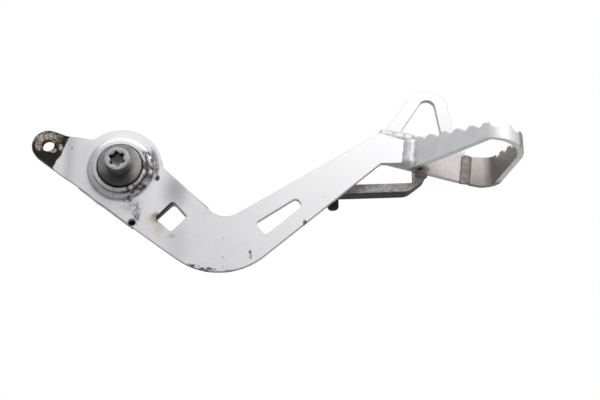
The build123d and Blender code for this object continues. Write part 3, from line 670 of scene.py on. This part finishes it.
def mesh_of_loops(name, loops, closed=False):
    """A mesh from loops of points with equal counts. Its ends are capped by fans, or joined."""
    shape = bmesh.new()
    rings = [[shape.verts.new(point) for point in loop] for loop in loops]
    count = len(rings[0])
    following = rings[1:] + rings[:1] if closed else rings[1:]
    for here, ahead in zip(rings, following):
        for i in range(count):
            j = (i + 1) % count
            shape.faces.new((here[i], here[j], ahead[j], ahead[i]))
    for ring in () if closed else (rings[0], rings[-1]):
        hub = shape.verts.new(sum((vertex.co for vertex in ring), Vector()) / count)
        for i in range(count):
            shape.faces.new((ring[i], ring[(i + 1) % count], hub))
    bmesh.ops.recalc_face_normals(shape, faces=shape.faces)
    mesh = bpy.data.meshes.new(name)
    shape.to_mesh(mesh)
    shape.free()
    return mesh


def angles(count):
    """Angles spread evenly round a circle."""
    return [2 * math.pi * i / count for i in range(count)]


def about_pivot(radius, angle, y):
    """A point at a distance from the pivot axis."""
    return place(radius * math.cos(angle), y, radius * math.sin(angle))


def bolt_mesh():
    """The pivot bolt with its six-lobe socket, neck and thread, as loops round its axis."""
    around = angles(BOLT_AROUND)

    def loop(radius, y, lobed=0.0, grow=0.0):
        """A circle, or the socket's outline where it is lobed."""
        points = []
        for angle in around:
            lobes = LOBE_MEAN + LOBE_SWING * math.cos(LOBES * (angle - LOBE_TURN)) + grow
            points.append(about_pivot(radius + lobed * (lobes - radius), angle, y))
        return points

    loops = [
        loop(0.6, SOCKET_FLOOR + 0.55),
        loop(2.3, SOCKET_FLOOR, 0.5),
        loop(0, SOCKET_FLOOR, 1, -0.12),
        loop(0, SOCKET_FLOOR - 0.15, 1),
        loop(0, HEAD_TOP + 0.25, 1),
        loop(0, HEAD_TOP + 0.06, 1, 0.06),
        loop(0, HEAD_TOP, 1, 0.25),
        loop(5.0, HEAD_TOP),
        loop(5.55, HEAD_TOP),
        loop(5.75, HEAD_TOP + 0.03),
        loop(6.3, HEAD_TOP + 0.5),
        loop(6.45, HEAD_TOP + 0.72),
        loop(HEAD_RADIUS, HEAD_TOP + 1.0),
        loop(HEAD_RADIUS, HEAD_FOOT - 0.35),
        loop(6.4, HEAD_FOOT - 0.1),
        loop(6.15, HEAD_FOOT),
        loop(4.3, HEAD_FOOT),
        loop(SHANK_RADIUS, HEAD_FOOT + 0.3),
        loop(SHANK_RADIUS, NECK_START - 0.2),
        loop(NECK_RADIUS, NECK_START + 0.2),
        loop(NECK_RADIUS, SEAT - 0.1),
    ]
    rows = int((THREAD_END - SEAT) / THREAD_PITCH * THREAD_STEPS)
    for row in range(rows + 1):
        y = SEAT + row * THREAD_PITCH / THREAD_STEPS
        # The thread runs in over one turn and out over a little more
        lead = min(1.0, row / THREAD_STEPS, (rows - row) / (1.2 * THREAD_STEPS))
        points = []
        for i, angle in enumerate(around):
            # Flat roots and crests with slanting flanks between them
            phase = (y / THREAD_PITCH - i / BOLT_AROUND) % 1
            flank = min(1.0, max(0.0, abs(2 * phase - 1) * 1.5 - 0.25))
            points.append(about_pivot(THREAD_ROOT + THREAD_HEIGHT * flank * lead, angle, y))
        loops.append(points)
    loops.append(loop(THREAD_TIP, THREAD_END))
    return mesh_of_loops("pivot_bolt_detail", loops)


def lathe_mesh(name, profile, count=128, lumps=0.0):
    """A ring turned about the pivot axis from a closed profile of (radius, y)."""
    loops = []
    for radius, y in profile:
        points = []
        for angle in angles(count):
            spot = Vector((4 * math.cos(angle), y, 4 * math.sin(angle)))
            points.append(about_pivot(radius + lumps * noise.noise(spot), angle, y))
        loops.append(points)
    return mesh_of_loops(name, loops, closed=True)


def tube_weld_mesh():
    """The fillet weld round the tube's inboard side, with its ripples."""
    loops = []
    for angle in angles(TUBE_WELD_AROUND):
        drift = 2 * noise.noise(Vector((angle * 2, 0, 3)))
        ripple = TUBE_WELD_RIPPLE * math.sin(angle * TUBE_WELD_RIPPLES + drift)
        lump = noise.noise(Vector((3 * math.cos(angle), 3 * math.sin(angle), 0)))
        size = TUBE_WELD_LEG + TUBE_WELD_LUMP * lump
        points = [about_pivot(RING_BORE, angle, BACKING_FACE)]
        for j in range(TUBE_WELD_ACROSS):
            turn = math.pi / 2 * j / (TUBE_WELD_ACROSS - 1)
            # A fillet that is a little hollow between its two toes
            bulge = size * (0.86 + 0.14 * abs(math.cos(2 * turn))) + ripple * math.sin(2 * turn)
            points.append(about_pivot(
                RING_BORE + bulge * math.cos(turn), angle, BACKING_FACE + bulge * math.sin(turn)))
        loops.append(points)
    return mesh_of_loops("tube_weld_bead", loops, closed=True)


def bead_mesh(name, start, end, across, out, ripple, blunt):
    """A weld bead between two points, with faint ripples. A blunt one tapers at its end only."""
    first = Vector(start)
    run = Vector(end) - first
    length = run.length
    ahead = run.normalized()
    side = ahead.cross(Vector((0, -1, 0))).normalized()
    outward = side.cross(ahead).normalized()
    rows = max(24, int(length * BEAD_ROWS))
    loops = []
    for row in range(rows + 1):
        travel = row / rows
        near_end = 1 - travel if blunt else min(travel, 1 - travel)
        end_share = min(1.0, near_end * length / (BEAD_END * across))
        taper = math.sqrt(max(BEAD_TIP, 1 - (1 - end_share) ** 2))
        points = []
        for angle in angles(BEAD_AROUND):
            wave = travel * length / BEAD_PITCH + 0.35 * math.sin(angle)
            crest = math.sin(2 * math.pi * wave)
            lump = noise.noise(Vector((
                travel * length * 0.4, 1.5 * math.cos(angle), 1.5 * math.sin(angle) + length)))
            scale = taper * (1 + (ripple * crest + BEAD_LUMP * lump) / across)
            offset = (side * (across * scale * math.cos(angle))
                      + outward * (out * scale * math.sin(angle)))
            points.append(place(*(first + run * travel + offset)))
        loops.append(points)
    return mesh_of_loops(name, loops)


def buffer_mesh():
    """The rubber buffer: a domed plug with a moulding line, pushed through the bar."""
    tilt = Matrix.Rotation(math.radians(-BUFFER_TILT), 3, "Y")
    loops = []
    for radius, up in BUFFER_PROFILE:
        points = []
        for angle in angles(64):
            local = Vector((radius * math.cos(angle), radius * math.sin(angle), up))
            points.append(place(*(Vector(BUFFER_SEAT) + tilt @ local)))
        loops.append(points)
    return mesh_of_loops("stop_buffer_detail", loops)


# Materials on the CAD nodes that keep their own shape
MATERIALS = {
    "arm_plate": silver_paint("paint_arm", PLATE_MARKS, arm=True),
    "backing_plate": silver_paint("paint_backing", BACKING_MARKS),
    "pivot_tube": boss_steel("tube_steel"),
    "guard_hoop": silver_paint("paint_hoop", hoop=True),
    "tread_strip": bare_steel("tread_steel"),
    "pivot_sleeve": phosphate("sleeve_steel", 0.5, 0.38),
    "stop_bar": dark_bar("bar_coat"),
    "bush_outboard": bronze("bush_bronze"),
    "bush_inboard": bronze("bush_bronze_inboard"),
    "seal_outboard": rubber("seal_rubber", 1.5),
    "seal_inboard": rubber("seal_rubber_inboard"),
}
for node, material in MATERIALS.items():
    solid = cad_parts[node]
    solid.data.materials.clear()
    solid.data.materials.append(material)

# Turned and welded pieces with more detail than their solids
bolt = new_object("pivot_bolt_detail", bolt_mesh(), phosphate("bolt_phosphate", 0.48, 0.33),
                  "pivot", ["pivot_bolt"])
soften(bolt, 0.05)
COLLAR_PROFILE = (
    (COLLAR_BORE, COLLAR_FOOT), (COLLAR_RADIUS - 0.15, COLLAR_FOOT),
    (COLLAR_RADIUS, COLLAR_FOOT - 0.15), (COLLAR_RADIUS, HEAD_FOOT + 0.75),
    (COLLAR_RADIUS - 0.2, HEAD_FOOT + 0.3), (COLLAR_RADIUS - 0.7, HEAD_FOOT + 0.03),
    (COLLAR_RADIUS - 1.0, HEAD_FOOT), (COLLAR_BORE, HEAD_FOOT),
)
collar = new_object("pivot_collar_detail", lathe_mesh("pivot_collar_detail", COLLAR_PROFILE),
                    phosphate("collar_phosphate", 0.27, 0.135),
                    "pivot", ["pivot_collar"])
soften(collar, 0.08)
RING_PROFILE = (
    (RING_BORE, 0.0), (RING_RADIUS, 0.0), (RING_RADIUS, -0.9), (RING_RADIUS - 0.12, -1.35),
    (RING_RADIUS - 0.45, -1.78), (RING_RADIUS - 1.0, -2.08), (RING_RADIUS - 1.8, -2.2),
    (RING_BORE, -2.2),
)
boss = new_object("boss_ring_detail",
                  lathe_mesh("boss_ring_detail", RING_PROFILE, 160, RING_LUMPS),
                  boss_steel("ring_steel"), "pedal", ["boss_ring"])
soften(boss, 0.05)

WELD_SILVER = (0.62, 0.62, 0.64, 1)
tube_skin = weld_skin("tube_weld_skin", WELD_SILVER, (0.42, 0.42, 0.43, 1))
new_object("tube_weld_bead", tube_weld_mesh(), tube_skin, "pedal", ["tube_weld"])
end_skin = weld_skin("end_weld_skin", WELD_SILVER, (0.46, 0.46, 0.48, 1), 0, 0.2, 0.6)
silver_skin = weld_skin("silver_weld_skin", WELD_SILVER, (0.42, 0.42, 0.44, 1), 0, 0.25)
brown_skin = weld_skin("brown_weld_skin", (0.26, 0.225, 0.215, 1), (0.15, 0.13, 0.125, 1), 0.25)

# Beads: node, start, end, half width, height, ripple, skin, slot, whether its start is blunt
BEADS = (
    ("arm_end_weld", (149.1, 0.6, 3.1), (150.9, 0.6, 18.4), 4.3, 5.4, 0.015,
     end_skin, "silver_paint", False),
    ("hoop_weld", (134.0, 0.8, 21.6), (152.8, 0.8, 18.9), 3.0, 2.3, 0.0,
     silver_skin, "silver_paint", False),
    ("lap_weld", (178.6, 1.8, -5.0), (180.6, 1.8, 11.0), 2.9, 1.1, 0.05,
     brown_skin, "weld_metal", True),
    ("bar_weld", (153.2, 5.1, 2.1), (160.0, 5.1, 0.4), 1.9, 1.9, 0.08,
     brown_skin, "weld_metal", False),
)
for node, start, end, across, out, ripple, skin, slot_name, blunt in BEADS:
    bead = bead_mesh(node + "_bead", start, end, across, out, ripple, blunt)
    new_object(node + "_bead", bead, skin, "pedal", [node])
new_object("stop_buffer_detail", buffer_mesh(), rubber("buffer_rubber"),
           "pedal", ["stop_buffer"])

# Camera
aim = Vector(CAMERA_AIM).normalized()
right = aim.cross(Vector((0, 0, 1))).normalized()
up = right.cross(aim)
camera_data = bpy.data.cameras.new("camera")
camera_data.lens = CAMERA_LENS
camera_data.sensor_width = CAMERA_SENSOR
camera_data.shift_y = CAMERA_SHIFT
camera_data.clip_start = CAMERA_NEAR * MM
camera = bpy.data.objects.new("camera", camera_data)
turn = Matrix((right, up, -aim)).transposed().to_4x4()
camera.matrix_world = Matrix.Translation(place(*CAMERA_PLACE)) @ turn
bpy.context.scene.collection.objects.link(camera)
bpy.context.scene.camera = camera

# White surroundings, which light the pedal with less than they show
world = bpy.data.worlds.new("surroundings")
bpy.context.scene.world = world
world.use_nodes = True
sky = Nodes(world.node_tree)
lit = sky.tree.nodes["Background"]
lit.inputs["Color"].default_value = (0.97, 0.98, 1, 1)
lit.inputs["Strength"].default_value = WORLD_LIGHT
shown = sky.node("Background", {"Color": (1, 1, 1, 1), "Strength": 1.0})
sky.feed(sky.tree.nodes["World Output"].inputs["Surface"],
         sky.see_white(lit.outputs[0], shown.outputs[0]))

# Pale floor, which shows as nearly white and keeps the pedal's shadow
floor_mesh = bpy.data.meshes.new("floor")
half, level = FLOOR_HALF * MM, -FLOOR_DROP * MM
floor_corners = [(-half, -half), (half, -half), (half, half), (-half, half)]
floor_mesh.from_pydata([(x, y, level) for x, y in floor_corners], [], [(0, 1, 2, 3)])
floor = bpy.data.objects.new("floor", floor_mesh)
bpy.context.scene.collection.objects.link(floor)
pale = Look("floor_pale", specular=0.1)
grain = pale.noise(40.0)
pale.finish(pale.mix(grain, grey(0.78), grey(0.82)), 0.9, grain, 0.1)
glow = pale.node("Emission", {"Color": (1, 1, 1, 1), "Strength": 1.0})
pale.feed(pale.tree.nodes["Material Output"].inputs["Surface"],
          pale.see_white(pale.shader.outputs[0], glow.outputs[0], FLOOR_WHITE))
floor_mesh.materials.append(pale.material)

# Lamps
for name, spot, target, size, power in LAMPS:
    data = bpy.data.lights.new(name, "AREA")
    data.shape = "RECTANGLE"
    data.size, data.size_y = size
    data.energy = power
    lamp = bpy.data.objects.new(name, data)
    lamp.location = place(*spot)
    lamp.rotation_mode = "QUATERNION"
    lamp.rotation_quaternion = (place(*target) - lamp.location).to_track_quat("-Z", "Y")
    bpy.context.scene.collection.objects.link(lamp)

bpy.context.scene.view_settings.view_transform = "Standard"
